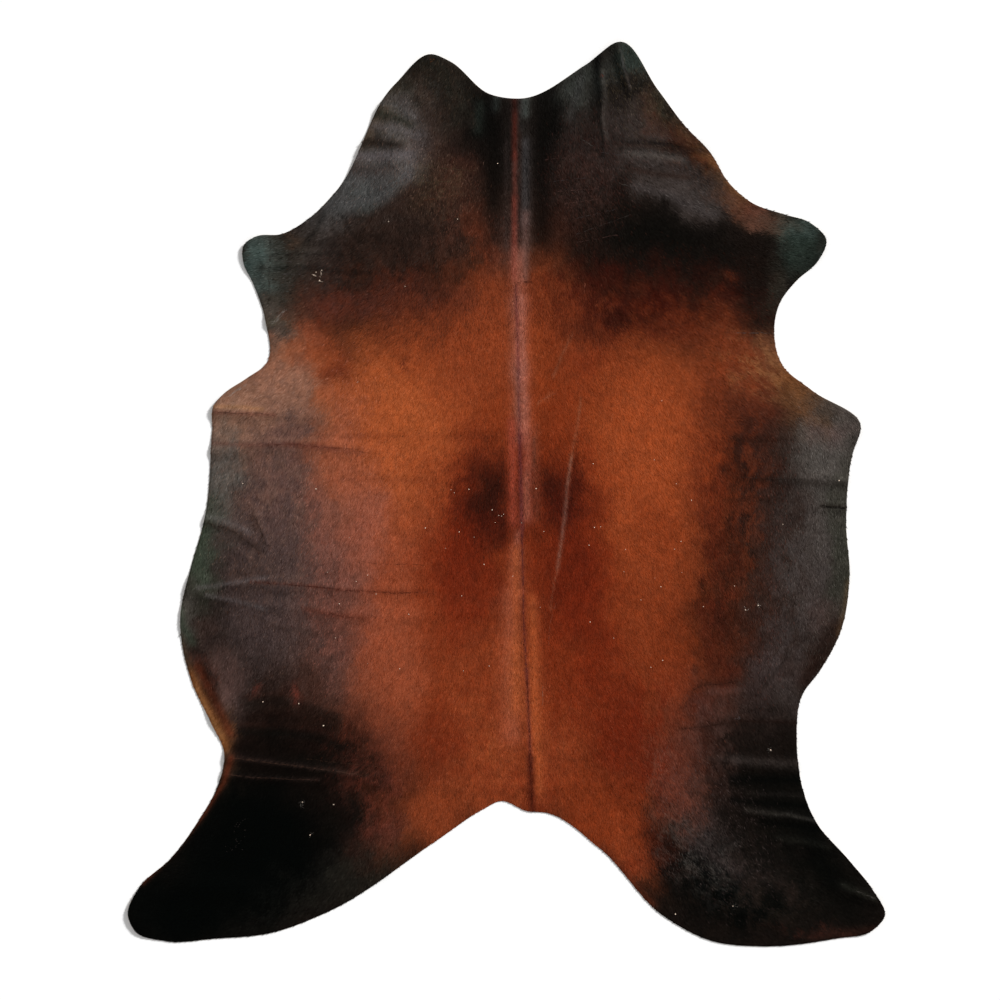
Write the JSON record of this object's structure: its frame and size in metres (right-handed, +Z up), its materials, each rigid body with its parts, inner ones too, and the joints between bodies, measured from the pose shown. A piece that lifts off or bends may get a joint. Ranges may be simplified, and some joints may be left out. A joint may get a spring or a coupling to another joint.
{
  "type": "leather hide",
  "caption": "Hair-on cowhide rug: a whole tanned hide with leg flaps and a hollowed neck, dark brown coat with tan flanks, laid flat on the floor.",
  "frame": {"origin": "on the surface that the hide lies on, under the middle of its bounding box", "axes": "+Y from the tail root towards the neck, +X to the right seen from above with the neck up, +Z up out of the hair side"},
  "size_m": [1.891, 2.2604, 0.0187],
  "materials": {
    "hair_on_hide": "short glossy cattle hair, near black to tan, on tanned leather with a suede flesh side"
  },
  "bodies": {
    "root": {"hide": "hair_on_hide"}
  },
  "joints": []
}
